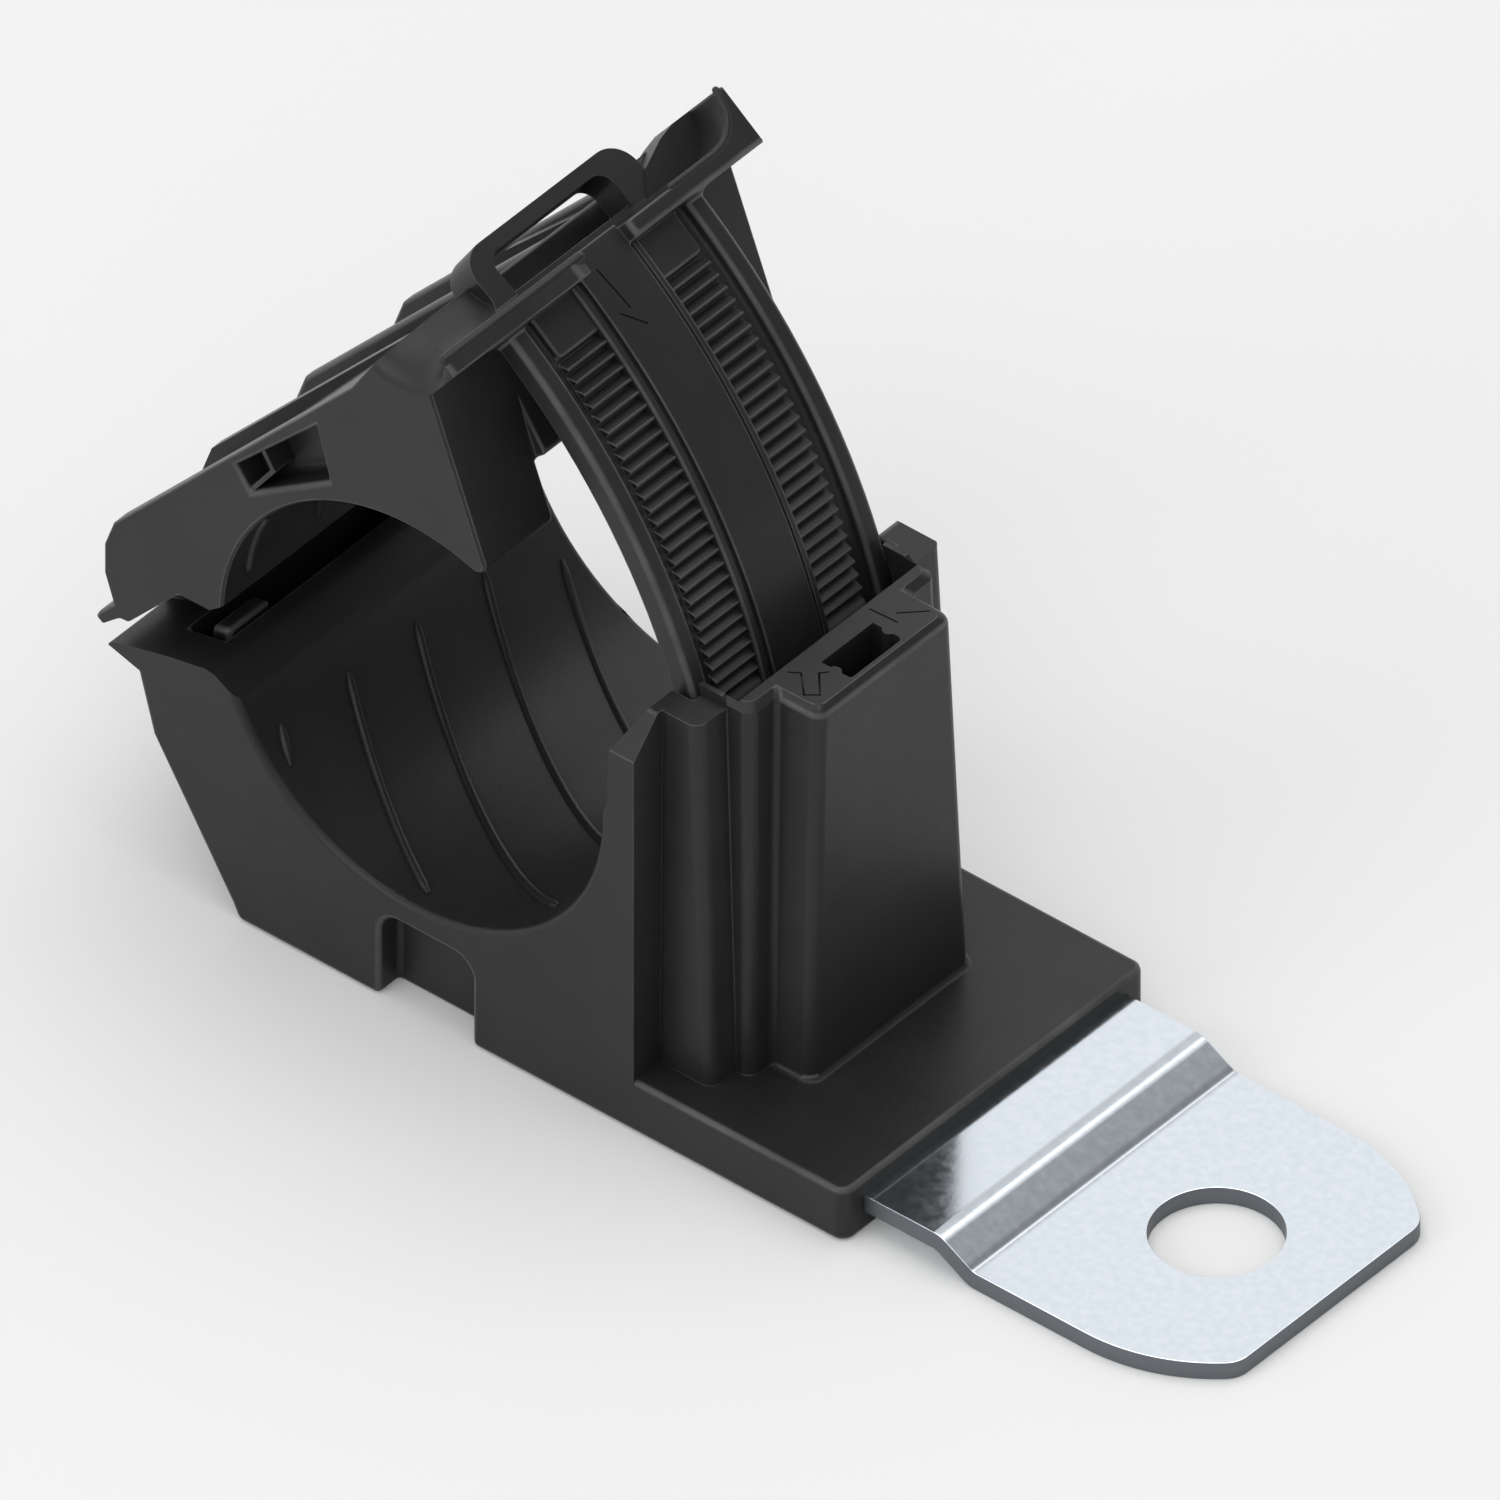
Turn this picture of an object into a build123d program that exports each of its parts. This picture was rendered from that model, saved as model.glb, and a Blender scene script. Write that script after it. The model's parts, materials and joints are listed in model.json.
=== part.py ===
"""Ratchet p-clamp: moulded cradle, hinged lid with a toothed strap, and a steel bolt-down foot.

Millimetres, +Z up. The origin is on the seating plane, on the axis of the bolt hole. The clamp
reaches back along -X to its hinge, and a bundle lies along Y. The lid is drawn as it stands when the
strap has just entered the tower.
"""
from build123d import *
from math import atan2, cos, degrees, hypot, radians, sin, tan
import os

# Steel foot
bolt_hole_d = 9.0
steel_t = 1.4
foot_w = 26.5
foot_reach = 9.6          # bolt axis to the straight front edge
foot_corner_r = 2.0
joggle_start = 12.6       # bolt axis to the upper bend
joggle_end = 9.8          # bolt axis to the lower bend
joggle_rise = 1.6         # underside of the held tongue above the seating plane
joggle_bend_r = 0.9
tongue_len = 21.0         # how far the steel runs inside the moulding
tongue_fit = 0.05         # side clearance of the tongue in its pocket
peg_d = 4.0               # moulded pegs that lock the tongue
peg_fit = 0.05
peg_gap = 13.0            # distance between the two pegs
peg_inset = 4.2           # moulding end face to the pegs

# Moulded body
body_w = 30.4
body_setback = 18.6       # bolt axis to the end face of the moulding
plate_h = 4.3
plate_corner_r = 1.0
foot_back = 69.75         # bolt axis to the heel of the body
heel_chamfer = 0.6
flank_back = 77.0         # bolt axis to the knee of the sloping flank
flank_h = 11.8

# Bundle space
jaw_r = 15.9
jaw_back = 55.2           # bolt axis to the bundle axis
jaw_h = 24.85             # bundle axis above the seating plane
cradle_rail_deg = 204.0   # where the cradle meets the hinge rail
rim_r = 0.6               # round on the rim of the cradle

# Side notches
notch_near = 50.05
notch_far = 57.85
notch_h = 7.0
notch_depth = 2.1
notch_corner_r = 1.6

# Hinge
hinge_back = 24.6         # bundle axis to hinge axis along X
hinge_drop = 6.15         # hinge axis below the bundle axis
pin_r = 1.2
pin_fit = 0.06
knuckle_r = 2.4
knuckle_w = 12.4
knuckle_mouth = 1.9
knuckle_mouth_deg = 140.0
lug_w = 2.4
lug_gap = 0.3             # side clearance between lug and knuckle
lug_r = 2.0
swing_gap = 0.4           # clearance round what turns at the hinge
trough_half = 11.8
trough_near = 3.1         # hinge axis to the near wall of the trough
trough_far = 6.2
trough_depth = 4.0
hinge_lip = ((1.5, -2.2), (-0.9, -1.5), (-0.75, -1.1), (1.15, -0.45), (4.35, 0.35), (7.3, 0.95),
             (8.1, 0.85))  # outline of the lip under the hinge, from the hinge axis
stop_near = 4.45          # hinge axis to the stop block that stands in the trough
stop_far = 6.05
stop_in = 7.0
stop_out = 11.2
stop_rise = (0.5, 0.9)    # its top above the hinge axis, near and far

# Strap
strap_w = 19.4
strap_wall = 3.7          # bundle space to the inside of the strap, in line with the hinge
strap_t = 2.0
strap_top_deg = 52.3      # flange face, seen from the hinge
strap_tip_deg = 14.0
land_half = 2.45
land_rise = 0.15
land_top_deg = 54.3
tooth_pitch_deg = 1.224
tooth_first_deg = 48.3
tooth_count = 27
tooth_depth = 0.75
tooth_land = 0.3          # how far the crests lie below the rails
track_in = 2.9
track_out = 7.2
rail_in = 8.1
groove_depth = 0.9

# Lid
lid_shut_deg = 32.0       # how far the lid turns from the drawn place until it is shut
cheek_in = 8.3            # the end blocks stand outside this half width
cheek_gap = 1.2           # end blocks to the inside of the strap
cheek_foot_deg = 64.5     # foot of the end blocks, seen from the bundle axis
cheek_foot_r = 0.8
lid_tail_deg = 177.5      # hinge end of the jaw, seen from the bundle axis
tail_corner = (-0.45, 9.0)  # upper corner of the hinge end, from the hinge axis
side_plate = 1.4
rib_t = 1.4
rib_places = (-4.6, 4.6)
deck_front = (1.3, 0.1)   # depth of the front panel of the back, at the hinge and at the crest
deck_rest = (2.0, 1.0)
deck_wall = 1.0
lid_pocket = 2.2          # depth of the pocket in each side
pocket_corners = ((9.9, 19.4), (11.05, 17.8), (17.75, 22.3), (16.65, 26.3))  # from the hinge axis
lid_rim = 0.2             # chamfer on the rim of the lid's jaw
hook_h = 1.35             # notch of the side plates above the hinge axis
flange_deg = 1.6
wall_deg = 57.8           # lid side of the crest wall
wall_foot_gap = 7.4       # inside of the strap to the foot of the crest wall
wall_top_gap = 2.1        # inside of the strap to the top of the crest wall
saddle_reach = 0.2        # inside of the strap to the end of the saddle
flange_reach = 0.2        # how far the flange stands out past the strap
centre_low_deg = 41.5     # lower end of the lid between the end blocks
centre_gap = 3.8          # inside of the strap to that lower end
loop_sides = (-6.9, 9.2)
loop_posts = (1.9, 2.6)
loop_bar = 1.1
loop_top_deg = 60.2
loop_lean_deg = 57.0      # the loop stands square to this radius from the hinge
loop_corner_r = 2.1
loop_window_r = 1.1
loop_foot_r = 1.5
loop_root = 1.2           # how far the loop's posts reach into the flange
loop_t = 3.1
loop_gap = 0.8            # inside of the strap to the loop's face
loop_foot_deg = 55.0
lip_reach = 2.8           # how far the front lip stands out past the strap
lip_end_r = 1.6
tab_reach = 1.3           # how far the thumb tab stands out past the strap
tab_rise = 3.2            # how far the thumb tab stands above the flange
tab_rim = 0.6
tab_wall_r = 1.5          # crest wall to the front of the tab's back wall
tab_wall = ((7.4, 0.0), (9.0, 0.6), (11.4, 0.9), (12.9, 1.0))  # half widths and shares of the rise

# Tower
tower_h = 34.3
tower_edge = 0.5          # bevel round the top
tower_corner_r = 0.9
shoulder_in = 9.4         # outside this half width the top is a lower shoulder
shoulder_drop = 0.7
shoulder_near = ((3.3, 0.0), (1.6, 1.6))  # falls below the top and insets of the corner's slope
shoulder_far = ((5.9, 0.0), (2.8, 1.7), (1.9, 2.1))
strap_gap = 0.3
slot_side_gap = 0.4
slot_floor = 4.1
slot_spare_deg = 4.0      # the slot runs on past the tip of the shut strap
wall_outside = -2.8       # full-width wall, measured along X from the outside of the strap
wall_lip_w = 0.55         # width of the wall's flared top
wall_base = 0.75          # cradle to the foot of the flare
wall_inner_h = 30.75
slot_sill_h = 31.0        # the cradle wall is lower between the sides of the slot
step_two = (1.7, 0.2)     # each step's face at the plate and at the top, as wall_outside
step_two_half = (12.6, 12.3)
step_three = (2.9, 2.2)
step_three_half = (10.2, 9.4)
step_front = (6.2, 5.8)
step_front_half = (8.1, 6.75)
pawl_t = 1.4
pawl_tooth = 0.4
pawl_tooth_count = 5
pawl_half = 5.0
pawl_gap = 0.4            # clearance on each side of the pawl
pawl_tip_deg = 14.0
pawl_travel = 1.5         # room behind the pawl for it to lift
chamber_floor_deg = -10.0
window_half = 2.6
window_far = 2.5          # sides of the release window, as wall_outside
window_near = 4.9
window_floor = 25.3       # lower end of the release window above the seating plane
window_stop_r = 0.5       # half-round stops at the ends of the release window
throat = 0.9              # edge of the tower's top beside the strap, as wall_outside
throat_half = 9.0
throat_depth = 3.0
throat_foot_deg = 13.0    # where its slope runs out into the slot
chamber_roof = 2.0

# Derived places
jaw_x = -jaw_back
hinge_x = jaw_x - hinge_back
hinge_z = jaw_h - hinge_drop
half_w = body_w / 2
strap_half = strap_w / 2
strap_r_in = hinge_back + jaw_r + strap_wall
strap_r_out = strap_r_in + strap_t
strap_x = hinge_x + strap_r_out
wall_back = strap_x + wall_outside
wall_lip = wall_back - wall_lip_w
wall_inner = jaw_x + jaw_r + wall_base
cheek_top_r = strap_r_in - cheek_gap
wall_foot_r = strap_r_in - wall_foot_gap
wall_top_r = strap_r_in - wall_top_gap
flange_r = strap_r_out + flange_reach
lip_r = strap_r_out + lip_reach
tab_r = strap_r_out + tab_reach
loop_r_out = strap_r_in - loop_gap
loop_r_in = loop_r_out - loop_t
land_r = strap_r_out + land_rise
crest_r = strap_r_out - tooth_land
valley_r = crest_r - tooth_depth
slot_half = strap_half + slot_side_gap
slot_r_in = strap_r_in - strap_gap
slot_r_out = land_r + strap_gap
flange_top_deg = strap_top_deg + flange_deg
knuckle_half = knuckle_w / 2
lug_in = knuckle_half + lug_gap
lug_out = lug_in + lug_w
lug_notch = lug_out + lug_gap
steel_top = joggle_rise + steel_t
reach = 120.0             # longer than the clamp, for cutting tools


def polar(radius, angle):
    """Point in the XZ plane at a radius and angle in degrees about the hinge axis."""
    return (hinge_x + radius * cos(radians(angle)), hinge_z + radius * sin(radians(angle)))


def about_jaw(radius, angle):
    """Point in the XZ plane at a radius and angle in degrees about the bundle axis."""
    return (jaw_x + radius * cos(radians(angle)), jaw_h + radius * sin(radians(angle)))


def by_hinge(right, up):
    """Point in the XZ plane by its distances from the hinge axis."""
    return (hinge_x + right, hinge_z + up)


def side_slab(face, near, far):
    """Extrude a face drawn in X and Z so that it fills Y from near to far."""
    return Pos(0, far, 0) * extrude(Plane.XZ * face, amount=far - near)


def both_sides(face, near, far):
    """Two slabs of one face, at near to far on each side of the middle."""
    return side_slab(face, near, far) + side_slab(face, -far, -near)


def outline(*points):
    """Closed face through points in the plane."""
    return make_face(Polyline(*points, close=True))


def box_between(low, high):
    """Box from its lowest to its highest corner."""
    size = [b - a for a, b in zip(low, high)]
    return Pos(*low) * Box(*size, align=(Align.MIN, Align.MIN, Align.MIN))


def sector(r_in, r_out, low, high, place=polar):
    """Ring sector in the XZ plane between two radii and two angles."""
    mid = (low + high) / 2
    edges = [
        ThreePointArc(place(r_out, low), place(r_out, mid), place(r_out, high)),
        Line(place(r_out, high), place(r_in, high)),
        ThreePointArc(place(r_in, high), place(r_in, mid), place(r_in, low)),
        Line(place(r_in, low), place(r_out, low)),
    ]
    return make_face(edges)


def hinge_disc(radius):
    """Round face about the hinge axis."""
    return Pos(hinge_x, hinge_z) * Circle(radius)


def turned(solid, angle):
    """Place a solid drawn with the hinge at the origin and radius along X at an angle."""
    return Pos(hinge_x, 0, hinge_z) * Rot(0, -angle, 0) * solid


def peg_places():
    """Centres of the two pegs that lock the steel tongue."""
    x = -(body_setback + peg_inset)
    return [(x, -peg_gap / 2), (x, peg_gap / 2)]


def bracket():
    """Steel strip: foot with a rounded end, joggle and the tongue held in the moulding."""
    ramp = atan2(joggle_rise, joggle_start - joggle_end)
    shift = steel_t * tan(ramp / 2)
    far_end = -(body_setback + tongue_len)
    outer_r = joggle_bend_r + steel_t
    under = FilletPolyline(
        (foot_reach, 0),
        (-joggle_end, 0),
        (-joggle_start, joggle_rise),
        (far_end, joggle_rise),
        radius=[outer_r, joggle_bend_r],
    )
    over = FilletPolyline(
        (foot_reach, steel_t),
        (-joggle_end + shift, steel_t),
        (-joggle_start + shift, steel_top),
        (far_end, steel_top),
        radius=[joggle_bend_r, outer_r],
    )
    ends = [Line(under @ 0, over @ 0), Line(under @ 1, over @ 1)]
    side = make_face(under.edges() + over.edges() + ends)
    plan = Rectangle(-far_end, foot_w, align=(Align.MAX, Align.CENTER)) + Circle(foot_w / 2)
    plan &= Pos(foot_reach, 0) * Rectangle(reach, foot_w, align=(Align.MAX, Align.CENTER))
    plan = fillet(plan.vertices().sort_by(Axis.X)[-2:], foot_corner_r)
    plan -= Circle(bolt_hole_d / 2)
    for place in peg_places():
        plan -= Pos(*place) * Circle(peg_d / 2 + peg_fit)
    return side_slab(side, -foot_w / 2, foot_w / 2) & extrude(plan, amount=steel_top)


def jaw_rims(solid):
    """Round edges where the bundle surface meets the two side faces."""
    rounds = solid.edges().filter_by(GeomType.CIRCLE)
    return [edge for edge in rounds if abs(edge.radius - jaw_r) < 0.01]


def body_side():
    """Side view of the base: heel, flank, hinge lip and rail, cradle, wall and plate."""
    rail_start = about_jaw(jaw_r, cradle_rail_deg)
    wall_start = about_jaw(jaw_r, 0)
    hinge_end = Polyline(
        (-foot_back, 0),
        (-foot_back - heel_chamfer, 2 * heel_chamfer),
        (-flank_back, flank_h),
        *[by_hinge(*point) for point in hinge_lip],
        rail_start,
    )
    cradle = ThreePointArc(rail_start, about_jaw(jaw_r, (cradle_rail_deg - 360) / 2), wall_start)
    tower_end = Polyline(
        wall_start,
        (wall_inner - 0.1, jaw_h + 1.5),
        (wall_inner, wall_inner_h),
        (wall_lip, tower_h - 0.2),
        (wall_back, tower_h),
        (wall_back, plate_h),
        (-body_setback, plate_h),
        (-body_setback, 0),
        (-foot_back, 0),
    )
    return make_face(hinge_end.edges() + cradle.edges() + tower_end.edges())


def tower_block(face, half):
    """Step of the tower: rounded rectangle that narrows upwards, with a bevelled top."""
    sections = []
    for z, place, width, inset in (
        (plate_h - 0.5, face[0], half[0], 0),
        (tower_h - tower_edge, face[1], half[1], 0),
        (tower_h, face[1], half[1], tower_edge),
    ):
        length = strap_x + place - inset - wall_lip
        shape = RectangleRounded(length, 2 * (width - inset), tower_corner_r)
        sections.append(Pos(wall_lip + length / 2, 0, z) * shape)
    return loft(sections, ruled=True)


def shoulder(side, corner):
    """Waste above one end of the tower's top: a lower shoulder and a sloping outer corner."""
    low = tower_h - shoulder_drop
    points = [(side * (half_w + 1), tower_h - corner[0][0])]
    points += [(side * (half_w - inset), tower_h - fall) for fall, inset in corner]
    points += [
        (side * (half_w - corner[-1][1] - corner[-1][0] / 2), low),
        (side * shoulder_in, low),
        (side * shoulder_in, tower_h + 1),
        (side * (half_w + 1), tower_h + 1),
    ]
    return Pos(-reach, 0, 0) * extrude(Plane.YZ * outline(*points), amount=reach)


def release_window():
    """Opening behind the pawl for a tool that lifts it, with a half-round stop at each end."""
    near, far = strap_x + window_near, strap_x + window_far
    plan = Pos((near + far) / 2, 0) * Rectangle(near - far, 2 * window_half)
    for side in (-1, 1):
        plan -= Pos((near + far) / 2, side * (window_half + window_stop_r / 3)) * Circle(window_stop_r)
    return Pos(0, 0, window_floor) * extrude(plan, amount=reach)


def pawl():
    """Springy tongue beside the strap, rooted below and free at the top, with its teeth."""
    face_r = slot_r_out
    blade = side_slab(
        sector(face_r, face_r + pawl_t, chamber_floor_deg - 1, pawl_tip_deg),
        -pawl_half,
        pawl_half,
    )
    for index in range(pawl_tooth_count):
        low = pawl_tip_deg - (index + 1) * tooth_pitch_deg
        tooth = outline(
            polar(face_r + 0.1, low),
            polar(face_r - pawl_tooth, low + 0.1),
            polar(face_r + 0.1, low + 0.8 * tooth_pitch_deg),
        )
        blade += both_sides(tooth, track_in + 0.2, pawl_half)
    return blade


def slot_and_chamber():
    """Space in the tower for the strap, the pawl and its travel, and the release window."""
    slot_end = strap_tip_deg - lid_shut_deg - slot_spare_deg
    slot = side_slab(sector(slot_r_in, slot_r_out, slot_end, strap_top_deg), -slot_half, slot_half)
    slot += box_between((wall_inner - 2, -slot_half, slot_sill_h), (wall_lip, slot_half, reach))
    behind = slot_r_out + pawl_t + pawl_travel
    chamber_half = pawl_half + pawl_gap
    chamber = side_slab(
        sector(slot_r_out - 0.1, behind, chamber_floor_deg, strap_top_deg), -chamber_half, chamber_half
    )
    edge = strap_x + throat
    chamber &= box_between((-reach, -half_w, 0), (edge, half_w, reach)) + box_between(
        (-reach, -half_w, 0), (0, half_w, tower_h - chamber_roof)
    )
    mouth = outline(
        (edge, tower_h + 1),
        (edge, tower_h - throat_depth),
        polar(slot_r_out - 0.1, throat_foot_deg),
        (wall_back, tower_h + 1),
    )
    chamber += side_slab(mouth, -throat_half, throat_half)
    above_floor = box_between((-reach, -half_w, slot_floor), (0, half_w, reach))
    return (slot + chamber + release_window()) & above_floor


def knuckle():
    """Open snap bearing for the hinge pin, standing on the lip of the base."""
    web = outline(
        by_hinge(-knuckle_r * 0.8, -knuckle_r * 0.6),
        by_hinge(knuckle_r, 0),
        by_hinge(trough_near, 0),
        by_hinge(trough_near, -trough_depth),
        by_hinge(1.5, -2.2),
    )
    return side_slab(hinge_disc(knuckle_r) + web, -knuckle_half, knuckle_half)


def lower_body():
    """Base moulding: cradle, hinge lip with its bearing, tower, foot and the steel's pocket."""
    body = side_slab(body_side(), -half_w, half_w)
    body = fillet(body.edges().filter_by(Axis.Z).group_by(Axis.X)[-1], plate_corner_r)
    body = fillet(jaw_rims(body), rim_r)
    for face, half in ((step_two, step_two_half), (step_three, step_three_half),
                       (step_front, step_front_half)):
        body += tower_block(face, half)
    body -= shoulder(-1, shoulder_near)
    body -= shoulder(1, shoulder_far)
    body -= slot_and_chamber()
    body += pawl() & box_between((-reach, -half_w, 0), (0, half_w, tower_h))
    trough = outline(
        by_hinge(trough_near, -trough_depth),
        by_hinge(trough_near, 3),
        by_hinge(trough_far, 3),
        by_hinge(trough_far, -trough_depth),
    )
    body -= side_slab(trough, -trough_half, trough_half)
    stop = outline(
        by_hinge(stop_near, -trough_depth - 0.5),
        by_hinge(stop_near, stop_rise[0]),
        by_hinge(stop_far, stop_rise[1]),
        by_hinge(stop_far, -trough_depth - 0.5),
    )
    body += both_sides(stop, stop_in, stop_out)
    body -= both_sides(hinge_disc(lug_r + swing_gap), knuckle_half - 0.1, lug_notch)
    body += knuckle()
    body -= side_slab(hinge_disc(pin_r + pin_fit), -lug_notch, lug_notch)
    mouth = Box(2 * knuckle_r, knuckle_w + 1, knuckle_mouth)
    body -= turned(Pos(knuckle_r, 0, 0) * mouth, knuckle_mouth_deg)
    notch = Pos(-(notch_near + notch_far) / 2, 0) * Rectangle(notch_far - notch_near, 2 * notch_h)
    notch = fillet(notch.vertices().filter_by(lambda v: v.Y > 0), notch_corner_r)
    body -= both_sides(notch, half_w - notch_depth, half_w + 1)
    tongue = box_between(
        (-(body_setback + tongue_len), -foot_w / 2 - tongue_fit, joggle_rise),
        (0, foot_w / 2 + tongue_fit, steel_top),
    )
    body -= tongue
    for place in peg_places():
        body += Pos(*place, joggle_rise) * Cylinder(
            peg_d / 2, steel_t, align=(Align.CENTER, Align.CENTER, Align.MIN)
        )
    return body


def lid_side():
    """Side view of the lid: hook and tail, straight back, crest, flange, end block and jaw."""
    saddle = polar(strap_r_in + saddle_reach, flange_top_deg)
    wall_top = polar(wall_top_r, wall_deg)
    foot = about_jaw(jaw_r, cheek_foot_deg)
    tail = about_jaw(jaw_r, lid_tail_deg)
    back = Polyline(
        by_hinge(-1.95, 0.45),
        by_hinge(-1.7, 0.9),
        by_hinge(-0.45, 2.3),
        by_hinge(-1.2, 4.5),
        by_hinge(-1.2, 6.9),
        by_hinge(*tail_corner),
        polar(wall_foot_r, wall_deg),
        wall_top,
    )
    curve = ThreePointArc(wall_top, polar((wall_top_r + strap_r_in) / 2 - 0.25, 55.3), saddle)
    flange = Polyline(
        saddle,
        polar(flange_r, flange_top_deg),
        polar(flange_r, strap_top_deg),
        polar(cheek_top_r, strap_top_deg),
        foot,
    )
    jaw = ThreePointArc(foot, about_jaw(jaw_r, 120), tail)
    underside = Polyline(
        tail,
        by_hinge(7.65, 6.05),
        by_hinge(5.05, 6.0),
        by_hinge(0.85, hook_h + 0.05),
        by_hinge(0.1, hook_h),
        by_hinge(-1.4, 0.05),
        by_hinge(-1.95, 0.45),
    )
    parts = [back, curve, flange, jaw, underside]
    face = make_face([edge for part in parts for edge in part.edges()])
    corner = face.vertices().sort_by_distance((*foot, 0))[0]
    return fillet(corner, cheek_foot_r)


def back_panel(depths):
    """Side view of a sunk panel on the back of the lid, deeper at the hinge than at the crest."""
    low = by_hinge(*tail_corner)
    high = polar(wall_foot_r, wall_deg)
    slope = degrees(atan2(high[1] - low[1], high[0] - low[0]))
    length = hypot(high[0] - low[0], high[1] - low[1]) - deck_wall
    clear = 10
    wedge = outline((-clear, -depths[0]), (0, -depths[0]), (length, -depths[1]), (length, clear),
                    (-clear, clear))
    return Pos(*low) * Rot(0, 0, slope) * wedge


def tooth_row():
    """Side view of one toothed track, as a saw outline on a ring."""
    points = [polar(crest_r, strap_top_deg)]
    for index in range(tooth_count):
        high = tooth_first_deg - index * tooth_pitch_deg
        points.append(polar(crest_r, high))
        points.append(polar(valley_r, high - 0.15 * tooth_pitch_deg))
        points.append(polar(crest_r, high - 0.85 * tooth_pitch_deg))
    points.append(polar(crest_r, strap_tip_deg))
    points.append(polar(strap_r_in + 0.4, strap_tip_deg))
    inner = [polar(strap_r_in + 0.4, strap_tip_deg), polar(strap_r_in + 0.4, strap_top_deg)]
    mid = polar(strap_r_in + 0.4, (strap_tip_deg + strap_top_deg) / 2)
    saw = Polyline(*points)
    return make_face(saw.edges() + [ThreePointArc(inner[0], mid, inner[1]),
                                    Line(inner[1], points[0])])


def strap():
    """Curved strap with two toothed tracks, side rails and a plain land down the middle."""
    floor_r = strap_r_out - groove_depth
    top = strap_top_deg + 0.6
    web = side_slab(sector(strap_r_in, floor_r, strap_tip_deg, top), -strap_half, strap_half)
    rail = sector(strap_r_in, strap_r_out, strap_tip_deg, top)
    web += both_sides(rail, rail_in, strap_half)
    land = sector(strap_r_in, land_r, strap_tip_deg, land_top_deg)
    web += side_slab(land, -land_half, land_half)
    web += both_sides(tooth_row(), land_half, track_out)
    return web


def flange_lip():
    """Front lip of the flange, which rises towards the middle and ends round."""
    length = lip_r - cheek_top_r
    edge = outline(
        (cheek_top_r, -half_w),
        (flange_r, -half_w),
        (lip_r - lip_end_r, -land_half - length),
        (lip_r, -land_half - lip_end_r),
        (lip_r - lip_end_r * 0.4, -land_half - 0.3),
        (lip_r - lip_end_r, -land_half),
        (cheek_top_r, -land_half),
    )
    thick = radians(flange_deg) * flange_r
    return turned(extrude(edge, amount=thick), strap_top_deg)


def thumb_tab():
    """Back end of the flange: a scoop that a thumb can push, with a wall behind it."""
    thick = radians(flange_deg) * flange_r
    plate = box_between((cheek_top_r, land_half, 0), (tab_r, half_w, thick))
    start = half_w - tab_rim - tab_rise
    block = box_between((wall_top_r - 1, start, 0), (tab_r, half_w, thick + tab_rise))
    scoop = Pos(wall_top_r - 2, start, thick + tab_rise) * Rot(0, 90, 0) * Cylinder(
        tab_rise, 2 * (tab_r - wall_top_r), align=(Align.CENTER, Align.CENTER, Align.MIN)
    )
    top = [(width, thick + share * tab_rise) for width, share in tab_wall]
    rise = outline((tab_wall[0][0], 0), *top, (half_w, thick + tab_rise), (half_w, 0))
    wall = Pos(wall_top_r - 1, 0, 0) * extrude(Plane.YZ * rise, amount=1 + tab_wall_r)
    return turned(plate + (block - scoop) + wall, strap_top_deg)


def bridge_loop():
    """Bar on two posts that bridges the crest in the middle of the lid, with round corners."""
    top = loop_r_out * sin(radians(loop_top_deg - loop_lean_deg))
    flange_top = loop_r_out * sin(radians(flange_top_deg - loop_lean_deg))
    base = flange_top - loop_root
    near, far = loop_sides
    height = (top + base) / 2
    shape = Pos((near + far) / 2, height) * Rectangle(far - near, top - base)
    shape = fillet(shape.vertices().group_by(Axis.Y)[-1], loop_corner_r)
    for end, side in ((near, -1), (far, 1)):
        foot = Pos(end + side * loop_foot_r / 2, flange_top + (loop_foot_r - loop_root) / 2)
        foot *= Rectangle(loop_foot_r, loop_foot_r + loop_root)
        hollow = Pos(end + side * loop_foot_r, flange_top + loop_foot_r)
        shape += foot - hollow * Circle(loop_foot_r)
    left, right = near + loop_posts[0], far - loop_posts[1]
    window = Pos((left + right) / 2, height - loop_bar) * Rectangle(right - left, top - base)
    shape -= fillet(window.vertices().group_by(Axis.Y)[-1], loop_window_r)
    slab = Pos(loop_r_in, 0, 0) * extrude(Plane.YZ * shape, amount=loop_t)
    return turned(slab, loop_lean_deg)


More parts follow.
